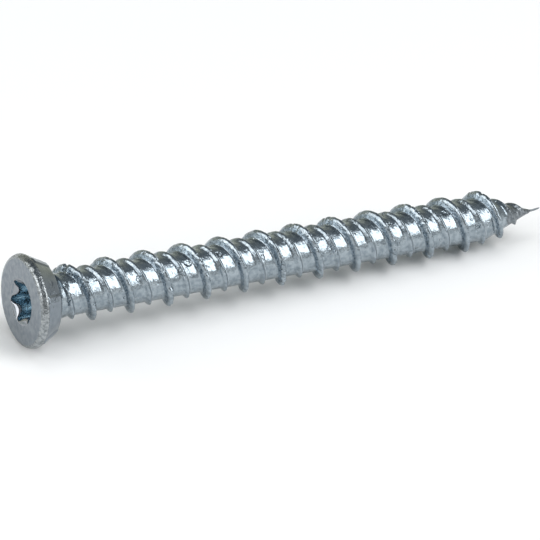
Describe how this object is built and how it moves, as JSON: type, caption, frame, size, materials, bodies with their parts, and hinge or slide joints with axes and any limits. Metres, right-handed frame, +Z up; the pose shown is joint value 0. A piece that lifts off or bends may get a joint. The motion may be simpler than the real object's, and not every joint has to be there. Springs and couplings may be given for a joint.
{
  "type": "concrete screw",
  "caption": "Countersunk zinc-plated screw with a lobed driver recess, cutting ribs under the head, a coarse high-low thread and a sharp cone point, driven straight into concrete.",
  "frame": {"origin": "on the ground, under the middle of the screw's box as it lies at rest on a rib under its head and on its thread", "axes": "+X from the head to the point, seen from above; +Z up; the screw's own axis dips about 2.07 degrees below +X towards the point"},
  "size_m": [0.0732, 0.0116, 0.0118],
  "materials": {
    "zinc_steel": "bright zinc plating with a faint blue cast, satin on the forged head, glossy on the rolled shank"
  },
  "bodies": {
    "root": {"concrete_screw": "zinc_steel"}
  },
  "joints": []
}
